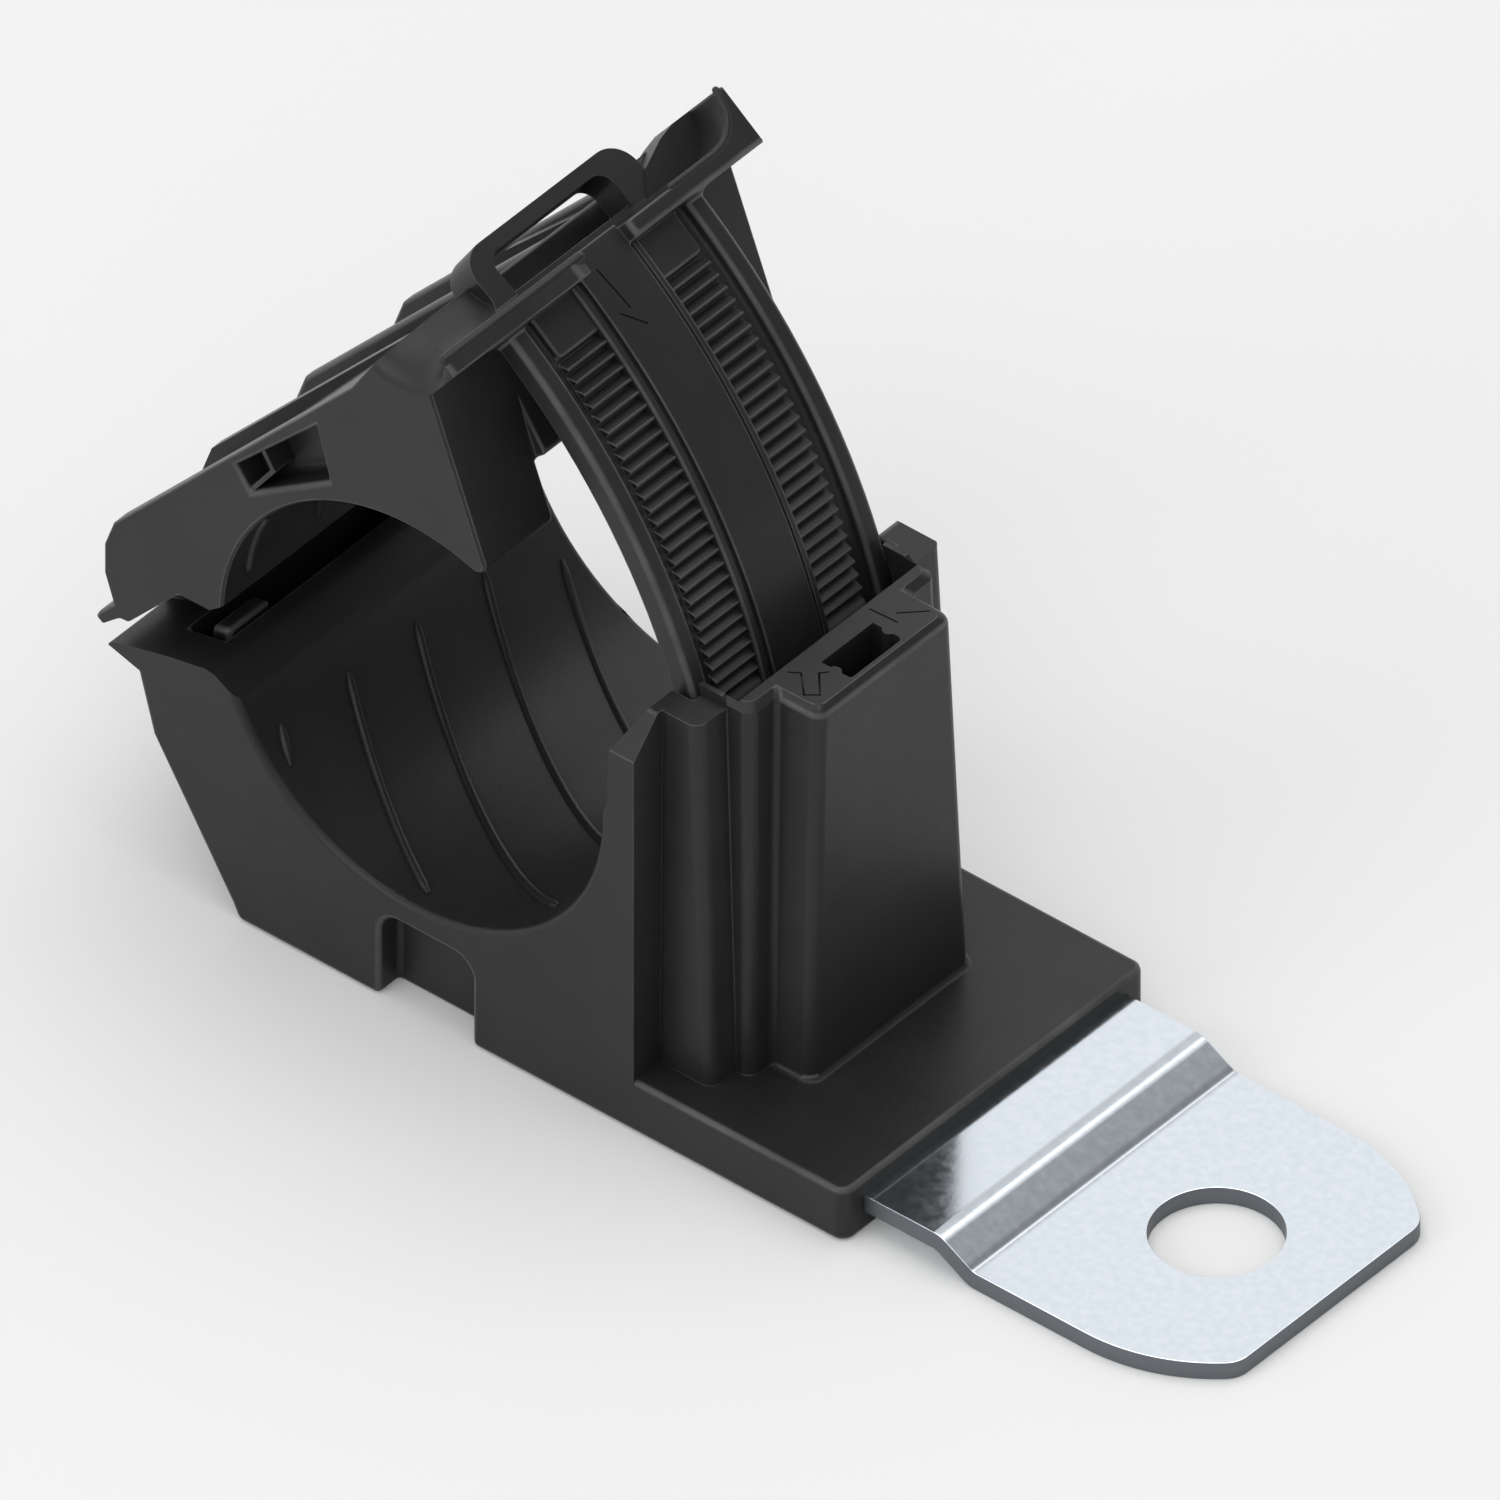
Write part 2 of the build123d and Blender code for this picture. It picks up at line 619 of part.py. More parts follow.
def upper_jaw():
    """Lid moulding: ribbed back, jaw, end blocks, flange, loop, strap and hinge pin."""
    side = lid_side()
    lid = side_slab(side, -half_w, half_w)
    lid = chamfer(jaw_rims(lid), lid_rim)
    first, second = rib_places
    for depths, near, far in (
        (deck_front, -half_w + side_plate, first - rib_t / 2),
        (deck_rest, first + rib_t / 2, second - rib_t / 2),
        (deck_rest, second + rib_t / 2, half_w - side_plate),
    ):
        lid -= side_slab(back_panel(depths), near, far)
    middle_cut = outline(
        polar(hinge_back, centre_low_deg),
        polar(reach, centre_low_deg),
        polar(reach, 0),
        polar(hinge_back, 0),
    )
    lid -= side_slab(middle_cut, -cheek_in, cheek_in)
    centre = outline(
        polar(wall_foot_r, centre_low_deg),
        polar(strap_r_in - centre_gap, centre_low_deg),
        polar(wall_top_r, strap_top_deg),
        polar(wall_foot_r, strap_top_deg + 1),
    )
    lid += side_slab(centre, -cheek_in, cheek_in)
    pocket = outline(*[by_hinge(*corner) for corner in pocket_corners])
    lid -= both_sides(pocket, half_w - lid_pocket, half_w + 1)
    gap_in_crest = sector(wall_foot_r + 1, reach, loop_foot_deg, 2 * wall_deg - loop_foot_deg)
    lid -= side_slab(gap_in_crest, *loop_sides)
    lid += bridge_loop()
    lid += flange_lip()
    lid += thumb_tab()
    notch = sector(strap_r_out, reach, strap_top_deg - 2, land_top_deg + 5)
    lid -= side_slab(notch, -land_half, land_half)
    lid += strap()
    lid -= side_slab(hinge_disc(knuckle_r + swing_gap), -lug_in, lug_in)
    lug = hinge_disc(lug_r) + outline(
        by_hinge(-lug_r * 0.95, 0.6),
        by_hinge(lug_r * 0.95, 0.6),
        by_hinge(3.2, 4.2),
        by_hinge(-0.9, 4.2),
    )
    lid += both_sides(lug, lug_in, lug_out)
    lid += side_slab(hinge_disc(pin_r), -lug_out, lug_out)
    return lid


if __name__ == "__main__":
    os.makedirs("parts", exist_ok=True)
    for name, solid in (
        ("mounting_bracket", bracket()),
        ("lower_body", lower_body()),
        ("upper_jaw", upper_jaw()),
    ):
        print(name, round(solid.volume, 1), len(solid.solids()))
        export_step(solid, f"parts/{name}.step")
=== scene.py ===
"""Ratchet p-clamp: moulded black nylon cradle and hinged lid on a joggled steel foot.

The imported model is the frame. Each moulding is a copy of its CAD solid with rounded edges, and the
raised and sunk details of the mould are made here.
"""
from __future__ import annotations

import json
import logging
import math
from dataclasses import dataclass, field
from enum import Enum
from typing import Any, Iterable

import bmesh
import bpy
from mathutils import Matrix, Vector

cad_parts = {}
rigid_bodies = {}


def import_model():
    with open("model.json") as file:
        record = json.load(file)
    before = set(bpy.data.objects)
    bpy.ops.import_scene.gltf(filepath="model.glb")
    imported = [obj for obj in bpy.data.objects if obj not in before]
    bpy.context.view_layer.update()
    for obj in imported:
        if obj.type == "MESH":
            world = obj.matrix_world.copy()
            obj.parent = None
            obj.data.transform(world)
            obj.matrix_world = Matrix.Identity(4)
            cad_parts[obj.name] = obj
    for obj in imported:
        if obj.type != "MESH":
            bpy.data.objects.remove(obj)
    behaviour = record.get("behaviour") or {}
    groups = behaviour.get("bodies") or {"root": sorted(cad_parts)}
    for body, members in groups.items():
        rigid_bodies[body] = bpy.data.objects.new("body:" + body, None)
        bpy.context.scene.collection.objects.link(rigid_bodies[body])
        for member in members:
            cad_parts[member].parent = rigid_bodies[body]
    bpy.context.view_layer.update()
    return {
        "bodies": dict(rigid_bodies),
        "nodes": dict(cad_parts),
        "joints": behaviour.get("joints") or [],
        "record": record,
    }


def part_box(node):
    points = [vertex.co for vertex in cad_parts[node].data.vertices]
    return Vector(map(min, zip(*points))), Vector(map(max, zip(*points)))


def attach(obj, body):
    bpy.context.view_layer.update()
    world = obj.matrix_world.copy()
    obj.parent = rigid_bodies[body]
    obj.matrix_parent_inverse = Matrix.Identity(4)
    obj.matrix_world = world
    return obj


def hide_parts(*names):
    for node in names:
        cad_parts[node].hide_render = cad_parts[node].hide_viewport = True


LOG = logging.getLogger("ratchet_clamp")
MM = 0.001
Point = tuple[float, float, float]
BOX_FACES = ((0, 1, 2, 3), (4, 5, 6, 7), (0, 1, 5, 4), (1, 2, 6, 5), (2, 3, 7, 6), (3, 0, 4, 7))
ROD_TWIST = Vector((0.31, 0.27, 0.91))
ROD_DOME_DEG = (8, 30, 55)
RIB_CORNERS = 8
RIB_TAPER = (0.45, 0.3)
RIB_ROOT = 0.25
# Painted highlight along the narrow outer rounds: the mesh attribute that marks them, the turn of the
# edges beside them and the widest round that counts.
EDGE_HIGHLIGHT = "painted_edge_highlight"
HIGHLIGHT_TURN_DEG = (6, 52)
HIGHLIGHT_WIDTH = 0.5 * MM
TINY = 1e-18
WELD_GAP = 0.002 * MM
FLAT_DEG = 0.4
SMOOTH_DEG = 50


class Body(Enum):
    """The rigid bodies of the clamp."""

    BASE = "base"
    LID = "lid"


class Slot(Enum):
    """The record's material slots."""

    NYLON = "black_nylon"
    ZINC = "zinc_plate"


class ShaderTree:
    """Short calls that build one node material."""

    def __init__(self, name: str) -> None:
        """Make an empty node material with its surface shader.

        Args:
            name: Name of the material.
        """
        self.material = bpy.data.materials.new(name)
        self.material.use_nodes = True
        self.tree = self.material.node_tree
        self.shader = self.tree.nodes["Principled BSDF"]
        self.place = self.add("ShaderNodeTexCoord").outputs["Object"]

    def add(self, kind: str, inputs: dict[str | int, Any] | None = None, **options: Any) -> Any:
        """Add a node.

        Args:
            kind: Blender's name of the node type.
            inputs: Values or sockets for its inputs.
            options: Settings of the node itself.

        Returns:
            The new node.
        """
        node = self.tree.nodes.new(kind)
        for key, value in options.items():
            setattr(node, key, value)
        for key, value in (inputs or {}).items():
            if isinstance(value, bpy.types.NodeSocket):
                self.tree.links.new(value, node.inputs[key])
            else:
                node.inputs[key].default_value = value
        return node

    def noise(self, scale: float, detail: float = 3.0, place: Any = None) -> Any:
        """Noise of a size per metre.

        Args:
            scale: Waves in a metre.
            detail: Octaves of the noise.
            place: Coordinates, or the object's own.

        Returns:
            The socket with the value.
        """
        where = {"Vector": place or self.place, "Scale": scale, "Detail": detail}
        return self.add("ShaderNodeTexNoise", where).outputs["Fac"]

    def span(self, value: Any, low: float, high: float, source: tuple[float, float] = (0, 1)) -> Any:
        """Map a value onto a span.

        Args:
            value: Socket with the value.
            low: Result at the start of the source span.
            high: Result at its end.
            source: Start and end of the source span.

        Returns:
            The socket with the result.
        """
        inputs = {"Value": value, 1: source[0], 2: source[1], 3: low, 4: high}
        return self.add("ShaderNodeMapRange", inputs).outputs[0]

    def blend(self, share: Any, first: Any, second: Any) -> Any:
        """Mix two colours.

        Args:
            share: Socket or number, 0 for the first colour and 1 for the second.
            first: First colour or its socket.
            second: Second colour or its socket.

        Returns:
            The socket with the colour.
        """
        node = self.add("ShaderNodeMix", data_type="RGBA")
        for key, value in ((0, share), (6, first), (7, second)):
            if isinstance(value, bpy.types.NodeSocket):
                self.tree.links.new(value, node.inputs[key])
            else:
                node.inputs[key].default_value = value
        return node.outputs[2]

    def bump(self, height: Any, depth: float, strength: float, under: Any = None) -> Any:
        """Bump from a height.

        Args:
            height: Socket with the height.
            depth: Real depth at a height of 1, in metres.
            strength: Share of the bump that is used.
            under: Normal that this bump lies on.

        Returns:
            The socket with the normal.
        """
        inputs = {"Height": height, "Distance": depth, "Strength": strength}
        if under is not None:
            inputs["Normal"] = under
        return self.add("ShaderNodeBump", inputs).outputs[0]

    def link(self, socket: Any, name: str) -> None:
        """Feed a socket into the surface shader's input of that name."""
        self.tree.links.new(socket, self.shader.inputs[name])


@dataclass(frozen=True)
class MouldedNylon:
    """Black glass-filled nylon as it leaves the mould, with a painted highlight along its narrow outer
    rounds.
    """

    name: str = "moulded_nylon"
    colour: tuple[float, float, float, float] = (0.019, 0.019, 0.0188, 1)
    faded: tuple[float, float, float, float] = (0.023, 0.023, 0.0227, 1)
    edge_highlight: tuple[float, float, float, float] = (0.1, 0.1, 0.099, 1)
    roughness: tuple[float, float] = (0.34, 0.43)
    specular: float = 0.3
    grain_per_m: float = 5200.0
    grain_depth: float = 0.012 * MM
    wave_per_m: float = 900.0
    wave_depth: float = 0.01 * MM
    flow_per_m: float = 240.0
    highlight_share: tuple[float, float] = (0.4, 1.0)

    def material(self) -> bpy.types.Material:
        """Build the material.

        Returns:
            The finished material.
        """
        s = ShaderTree(self.name)
        cloud = s.noise(self.flow_per_m, 4.0)
        fine = s.noise(self.grain_per_m, 2.0)
        tone = s.blend(s.span(cloud, 0, 1, (0.35, 0.7)), self.colour, self.faded)
        # Painted highlight: the narrow outer rounds are lightened to the highlight colour, more in some
        # patches than in others.
        edge = s.add("ShaderNodeAttribute", attribute_name=EDGE_HIGHLIGHT)
        uneven = s.span(cloud, *self.highlight_share, source=(0.3, 0.7))
        painted_highlight = s.add("ShaderNodeMath", {0: edge.outputs["Fac"], 1: uneven}, operation="MULTIPLY")
        s.link(s.blend(painted_highlight.outputs[0], tone, self.edge_highlight), "Base Color")
        s.link(s.span(fine, *self.roughness, source=(0.3, 0.7)), "Roughness")
        s.shader.inputs["Specular IOR Level"].default_value = self.specular
        waves = s.bump(s.noise(self.wave_per_m, 2.0), self.wave_depth, 0.5)
        s.link(s.bump(fine, self.grain_depth, 0.6, waves), "Normal")
        return s.material


@dataclass(frozen=True)
class ZincPlate:
    """Bright zinc-plated steel strip with sheared edges and painted shade along its two bends."""

    name: str = "zinc_plated_steel"
    colour: tuple[float, float, float, float] = (0.63, 0.685, 0.74, 1)
    clouded: tuple[float, float, float, float] = (0.71, 0.76, 0.81, 1)
    sheared_and_bend_shade: tuple[float, float, float, float] = (0.19, 0.205, 0.22, 1)
    bend_shade_share: float = 0.42
    bends: tuple[float, float] = (-12.5 * MM, -9.6 * MM)
    bend_half: tuple[float, float] = (0.22 * MM, 0.5 * MM)
    roughness: tuple[float, float] = (0.12, 0.17)
    edge_roughness: float = 0.5
    spangle_per_m: float = 1500.0
    grain_per_m: float = 4200.0
    grain_depth: float = 0.003 * MM
    streak_per_m: float = 3200.0
    streak_depth: float = 0.0015 * MM
    rolling: Point = (0.06, 1, 1)

    def material(self) -> bpy.types.Material:
        """Build the material.

        Returns:
            The finished material.
        """
        s = ShaderTree(self.name)
        s.shader.inputs["Metallic"].default_value = 1.0
        spangle = s.noise(self.spangle_per_m, 5.0)
        grains = s.noise(self.grain_per_m, 3.0)
        tone = s.blend(s.span(spangle, 0.2, 0.8, (0.36, 0.64)), self.colour, self.clouded)
        normal = s.add("ShaderNodeSeparateXYZ", {0: s.add("ShaderNodeNewGeometry").outputs["Normal"]})
        upright = s.add("ShaderNodeMath", {0: normal.outputs["Z"]}, operation="ABSOLUTE")
        side = s.span(upright.outputs[0], 1, 0, (0.3, 0.7))
        along = s.add("ShaderNodeSeparateXYZ", {0: s.place}).outputs["X"]
        # Painted shade: dark lines along the two bends of the joggle, in the colour of the sheared edges.
        for bend in self.bends:
            away = s.add("ShaderNodeMath", {0: along, 1: bend}, operation="SUBTRACT")
            away = s.add("ShaderNodeMath", {0: away.outputs[0]}, operation="ABSOLUTE")
            tone = s.blend(s.span(away.outputs[0], self.bend_shade_share, 0, self.bend_half), tone, self.sheared_and_bend_shade)
        s.link(s.blend(side, tone, self.sheared_and_bend_shade), "Base Color")
        polish = s.span(spangle, *self.roughness, source=(0.35, 0.68))
        mixed = s.add("ShaderNodeMix", {0: side, 2: polish, 3: self.edge_roughness}, data_type="FLOAT")
        s.link(mixed.outputs[0], "Roughness")
        rolled = s.add("ShaderNodeMapping", {"Vector": s.place, "Scale": self.rolling})
        streaks = s.noise(self.streak_per_m, 2.0, rolled.outputs[0])
        under = s.bump(streaks, self.streak_depth, 0.3)
        s.link(s.bump(grains, self.grain_depth, 0.4, under), "Normal")
        return s.material


@dataclass(frozen=True)
class PaleFloor:
    """Plain white table top, which glows a little for the camera and keeps the shadow."""

    name: str = "pale_floor"
    colour: tuple[float, float, float, float] = (0.93, 0.93, 0.93, 1)
    glow: float = 0.08
    roughness: float = 0.85
    specular: float = 0.1

    def material(self) -> bpy.types.Material:
        """Build the material.

        Returns:
            The finished material.
        """
        s = ShaderTree(self.name)
        s.shader.inputs["Base Color"].default_value = self.colour
        s.shader.inputs["Roughness"].default_value = self.roughness
        s.shader.inputs["Specular IOR Level"].default_value = self.specular
        s.shader.inputs["Emission Color"].default_value = (1, 1, 1, 1)
        seen = s.add("ShaderNodeLightPath").outputs["Is Camera Ray"]
        glow = s.add("ShaderNodeMath", {0: seen, 1: self.glow}, operation="MULTIPLY")
        s.link(glow.outputs[0], "Emission Strength")
        return s.material


@dataclass
class Places:
    """Axes and sizes of the clamp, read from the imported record, in metres."""

    record: dict[str, Any]
    joints: list[dict[str, Any]]

    def _mount(self, name: str) -> dict[str, Any]:
        """Mount of the record by its name."""
        return next(m for m in self.record["mounts"] if m["name"] == name)

    @property
    def jaw(self) -> Vector:
        """Centre of the bundle space."""
        return Vector(self._mount("bundle_seat")["pos_m"])

    @property
    def jaw_r(self) -> float:
        """Radius of the bundle space."""
        return self._mount("bundle_seat")["dims"]["r_mm"] * MM

    @property
    def hinge(self) -> Vector:
        """A point on the hinge axis."""
        return Vector(self.joints[0]["pos_m"])

    def on_jaw(self, radius: float, degrees: float, y: float) -> Vector:
        """Point by its radius and angle about the bundle axis.

        Args:
            radius: Distance from the axis.
            degrees: Angle from +X, towards +Z.
            y: Place along the bundle.

        Returns:
            The point.
        """
        a = math.radians(degrees)
        return self.jaw + Vector((radius * math.cos(a), y, radius * math.sin(a)))

    def on_strap(self, radius: float, degrees: float, y: float) -> Vector:
        """Point by its radius and angle about the hinge axis.

        Args:
            radius: Distance from the axis.
            degrees: Angle from +X, towards +Z.
            y: Place along the hinge.

        Returns:
            The point.
        """
        a = math.radians(degrees)
        return self.hinge + Vector((radius * math.cos(a), y, radius * math.sin(a)))


def link_object(name: str, mesh: bpy.types.Mesh) -> bpy.types.Object:
    """Put a mesh into the scene as an object.

    Args:
        name: Name of the object and its mesh.
        mesh: The mesh.

    Returns:
        The new object.
    """
    mesh.name = name
    made = bpy.data.objects.new(name, mesh)
    bpy.context.scene.collection.objects.link(made)
    return made


def mesh_from(verts: Iterable[Vector], faces: Iterable[Iterable[int]]) -> bpy.types.Mesh:
    """Make a mesh from points and faces.

    Args:
        verts: Points in metres.
        faces: Corner numbers of each face.

    Returns:
        The new mesh, with its faces turned outwards.
    """
    mesh = bpy.data.meshes.new("mesh")
    mesh.from_pydata([tuple(v) for v in verts], [], [tuple(f) for f in faces])
    bm = bmesh.new()
    bm.from_mesh(mesh)
    bmesh.ops.recalc_face_normals(bm, faces=bm.faces)
    bm.to_mesh(mesh)
    bm.free()
    return mesh


@dataclass
class Rounding:
    """Rounds the sharp edges of a moulding, with less where there is less room."""

    width: float = 0.45 * MM
    segments: int = 3
    sharp_deg: float = 36.0
    least: float = 0.06
    straight: float = 0.6
    smooth_deg: float = 38.0
    room_share: float = 0.42
    bend_share: float = 2.0
    least_bend: float = 0.02
    in_line: float = 0.94
    run_back: float = -0.5
    beside: tuple[float, float] = (0.05, 0.95)
    seat: tuple[Vector, Vector] | None = None

    def _seated(self, edge: bmesh.types.BMEdge) -> bool:
        """Whether an edge lies against the part that is moulded in."""
        if self.seat is None:
            return False
        low, high = self.seat
        return all(low[i] < vert.co[i] < high[i] for vert in edge.verts for i in range(3))

    def _room(self, edge: bmesh.types.BMEdge, face: bmesh.types.BMFace,
              run: set[bmesh.types.BMEdge]) -> float:
        """Room on one face beside an edge.

        Args:
            edge: The edge to be rounded.
            face: A face beside it.
            run: Edges that are rounded with it, which only count where they run back the other way.

        Returns:
            The distance to the nearest other edge of the face.
        """
        ways = {loop.edge: loop.link_loop_next.vert.co - loop.vert.co for loop in face.loops}
        a, b = (v.co for v in edge.verts)
        along = (b - a).normalized()
        room = 1.0
        for loop in face.loops:
            first, second = loop.edge, loop.link_loop_next.edge
            if edge in (first, second) and first in run and second in run:
                bend = ways[first].angle(ways[second], 0.0)
                if bend > self.least_bend and ways[first].cross(ways[second]).dot(face.normal) > 0:
                    radius = (ways[first].length + ways[second].length) / 2 / bend
                    room = min(room, radius * self.bend_share)
        samples = [a.lerp(b, share) for share in (0.1, 0.5, 0.9)]
        for other in face.edges:
            turn = ways[other].dot(ways[edge]) / max(ways[other].length * ways[edge].length, TINY)
            if other is edge or (other in run and turn > self.run_back):
                continue
            c, d = (v.co for v in other.verts)
            span = d - c
            if span.length_squared < TINY:
                continue
            if set(edge.verts) & set(other.verts):
                lean = abs(span.normalized().dot(along))
                if lean < self.in_line:
                    room = min(room, span.length * math.sqrt(1 - lean * lean))
                continue
            for point in samples:
                share = max(0.0, min(1.0, (point - c).dot(span) / span.length_squared))
                room = min(room, (c + span * share - point).length)
            for point in (c, d):
                share = (point - a).dot(b - a) / max((b - a).length_squared, TINY)
                if self.beside[0] < share < self.beside[1]:
                    room = min(room, (a.lerp(b, share) - point).length)
        return room

    def _runs(self, sharp: set[bmesh.types.BMEdge]) -> list[list[bmesh.types.BMEdge]]:
        """Sort sharp edges into runs that go on without a corner.

        Args:
            sharp: The sharp edges.

        Returns:
            Lists of edges that need one width.
        """
        runs = []
        left = set(sharp)
        for first in sorted(sharp, key=lambda e: e.index):
            if first not in left:
                continue
            left.discard(first)
            run = [first]
            for edge in run:
                a, b = (v.co for v in edge.verts)
                along = (b - a).normalized()
                for vert in edge.verts:
                    for other in vert.link_edges:
                        if other not in left:
                            continue
                        c, d = (v.co for v in other.verts)
                        if abs((d - c).normalized().dot(along)) > self.straight:
                            left.discard(other)
                            run.append(other)
            runs.append(run)
        return runs

    def weights(self, bm: bmesh.types.BMesh) -> int:
        """Give each run of sharp edges the width that fits beside it.

        Args:
            bm: The welded mesh.

        Returns:
            The number of edges that are rounded.
        """
        layer = bm.edges.layers.float.new("bevel_weight_edge")
        least_angle = math.radians(self.sharp_deg)
        sharp = {e for e in bm.edges if len(e.link_faces) == 2 and e.calc_face_angle(0.0) > least_angle
                 and not self._seated(e)}
        count = 0
        for run in self._runs(sharp):
            mates = set(run)
            room = min(self._room(edge, face, mates) for edge in run for face in edge.link_faces)
            weight = min(1.0, room * self.room_share / self.width)
            if weight >= self.least:
                count += len(run)
                for edge in run:
                    edge[layer] = weight
        LOG.info("%d sharp edges, %d rounded", len(sharp), count)
        return count

    def apply(self, target: bpy.types.Object) -> None:
        """Round the edges.

        Args:
            target: The object, whose mesh is replaced.
        """
        bm = bmesh.new()
        bm.from_mesh(target.data)
        bm.edges.index_update()
        count = self.weights(bm)
        bm.to_mesh(target.data)
        bm.free()
        for _ in range(2):
            target.data.materials.append(None)
        bevel = target.modifiers.new("rounding", "BEVEL")
        bevel.material = 1
        bevel.limit_method = "WEIGHT"
        bevel.width = self.width
        bevel.segments = self.segments
        bevel.use_clamp_overlap = False
        bake_modifiers(target)
        LOG.info("%s: %d edges rounded", target.name, count)

    def shade(self, target: bpy.types.Object) -> None:
        """Shade smoothly over the rounds and keep the corners crisp.

        Args:
            target: The object.
        """
        target.data.shade_smooth()
        target.data.set_sharp_from_angle(angle=math.radians(self.smooth_deg))
        normals = target.modifiers.new("even_normals", "WEIGHTED_NORMAL")
        normals.keep_sharp = True
        note_highlight_edges(target)


def note_highlight_edges(target: bpy.types.Object) -> None:
    """Note on the mesh where its narrow outer rounds are, which the finish gives a painted highlight.

    Args:
        target: The object.
    """
    bm = bmesh.new()
    bm.from_mesh(target.data)
    layer = bm.loops.layers.float.new(EDGE_HIGHLIGHT)
    turn = [math.radians(degrees) for degrees in HIGHLIGHT_TURN_DEG]
    bends = {e for e in bm.edges
             if len(e.link_faces) == 2 and turn[0] < e.calc_face_angle_signed(0.0) < turn[1]}
    rounds = set()
    for face in bm.faces:
        longest = max(edge.calc_length() for edge in face.edges)
        narrow = longest > 0 and face.calc_area() / longest < HIGHLIGHT_WIDTH
        if face.material_index and narrow and sum(edge in bends for edge in face.edges) >= 2:
            rounds.add(face)
    for face in rounds:
        border = {vert for edge in face.edges
                  if edge in bends and any(other not in rounds for other in edge.link_faces)
                  for vert in edge.verts}
        for loop in face.loops:
            loop[layer] = 0.0 if loop.vert in border else 1.0
    for face in bm.faces:
        face.material_index = 0
    bm.to_mesh(target.data)
    bm.free()


def bake_modifiers(target: bpy.types.Object) -> None:
    """Turn an object's modifiers into its mesh.

    Args:
        target: The object.
    """
    graph = bpy.context.evaluated_depsgraph_get()
    shaped = bpy.data.meshes.new_from_object(target.evaluated_get(graph))
    old = target.data
    target.modifiers.clear()
    target.data = shaped
    shaped.name = target.name
    bpy.data.meshes.remove(old)


def moulded_copy(node: bpy.types.Object, name: str) -> bpy.types.Object:
    """Copy the bare geometry of a CAD node.

    Args:
        node: The CAD node.
        name: Name of the copy.

    Returns:
        The new object.
    """
    mesh = bpy.data.meshes.new(name)
    verts = [tuple(v.co) for v in node.data.vertices]
    mesh.from_pydata(verts, [], [tuple(p.vertices) for p in node.data.polygons])
    return link_object(name, mesh)


def merge_flat(bm: bmesh.types.BMesh, limit: float) -> None:
    """Merge the flat neighbours, and keep the bridges to holes that stand most upright to the outline.

    Args:
        bm: The welded mesh of triangles.
        limit: Largest angle between neighbours that count as flat, in radians.
    """
    def flat_edges() -> list[bmesh.types.BMEdge]:
        """Edges between flat neighbours, in the mesh's own order, which settles ties the same each run."""
        return [e for e in bm.edges if len(e.link_faces) == 2 and e.calc_face_angle(1.0) < limit]

    bmesh.ops.beautify_fill(bm, faces=bm.faces, edges=flat_edges(), method="ANGLE")
    in_order = flat_edges()
    flat = set(in_order)

    def slant(edge: bmesh.types.BMEdge) -> float:
        """How closely the edge follows the outline that it ends on."""
        most = 0.0
        for vert in edge.verts:
            way = (edge.other_vert(vert).co - vert.co).normalized()
            for other in vert.link_edges:
                if other not in flat:
                    most = max(most, way.dot((other.other_vert(vert).co - vert.co).normalized()))
        return most

    for edge in sorted(in_order, key=lambda e: (-slant(e), -e.calc_length())):
        if not edge.is_valid or len(edge.link_faces) != 2:
            continue
        first, second = edge.link_faces
        shared = set(first.verts) & set(second.verts)
        if first is not second and len(shared) == len(set(first.edges) & set(second.edges)) + 1:
            bmesh.utils.face_join((first, second))
    spare = [v for v in bm.verts if len(v.link_edges) == 2 and v.calc_edge_angle(1.0) < limit]
    bmesh.ops.dissolve_verts(bm, verts=spare)


def weld(target: bpy.types.Object) -> None:
    """Join the corners of a moulding's faces and merge its flat faces.

    Args:
        target: The object, whose mesh is changed.
    """
    bm = bmesh.new()
    bm.from_mesh(target.data)
    bmesh.ops.remove_doubles(bm, verts=bm.verts, dist=WELD_GAP)
    merge_flat(bm, math.radians(FLAT_DEG))
    bm.to_mesh(target.data)
    bm.free()


def cut(target: bpy.types.Object, tools: list[bpy.types.Mesh]) -> None:
    """Cut closed meshes out of a moulding.

    Args:
        target: The object, whose mesh is replaced.
        tools: The cutting meshes, which are used up.
    """
    cutter = joined("cutter", tools)
    sunk = target.modifiers.new("cut", "BOOLEAN")
    sunk.operation = "DIFFERENCE"
    sunk.solver = "EXACT"
    sunk.use_self = True
    sunk.object = cutter
    bake_modifiers(target)
    spent = cutter.data
    bpy.data.objects.remove(cutter)
    bpy.data.meshes.remove(spent)


def bar(start: Vector, end: Vector, out: Vector, width: float, depth: float) -> bpy.types.Mesh:
    """Thin block along a straight line.

    Args:
        start: One end of the line.
        end: The other end.
        out: Direction in which the block is deep.
        width: Width of the block.
        depth: Depth of the block to each side of the line.

    Returns:
        The closed mesh.
    """
    along = (end - start).normalized()
    across = along.cross(out).normalized() * width / 2
    reach = along * width / 2
    low, high = -depth * out, depth * out
    ring = [start - reach - across, end + reach - across, end + reach + across, start - reach + across]
    verts = [p + low for p in ring] + [p + high for p in ring]
    return mesh_from(verts, BOX_FACES)


def swept(sections: list[list[Vector]]) -> bpy.types.Mesh:
    """Closed mesh through sections with the same number of corners.

    Args:
        sections: Corners of each section, in order.

    Returns:
        The closed mesh.
    """
    size = len(sections[0])
    verts = [corner for section in sections for corner in section]
    faces = [list(range(size)), list(range(len(verts) - size, len(verts)))]
    for step in range(len(sections) - 1):
        for corner in range(size):
            after = (corner + 1) % size
            low, high = step * size, (step + 1) * size
            faces.append([low + corner, low + after, high + after, high + corner])
    return mesh_from(verts, faces)


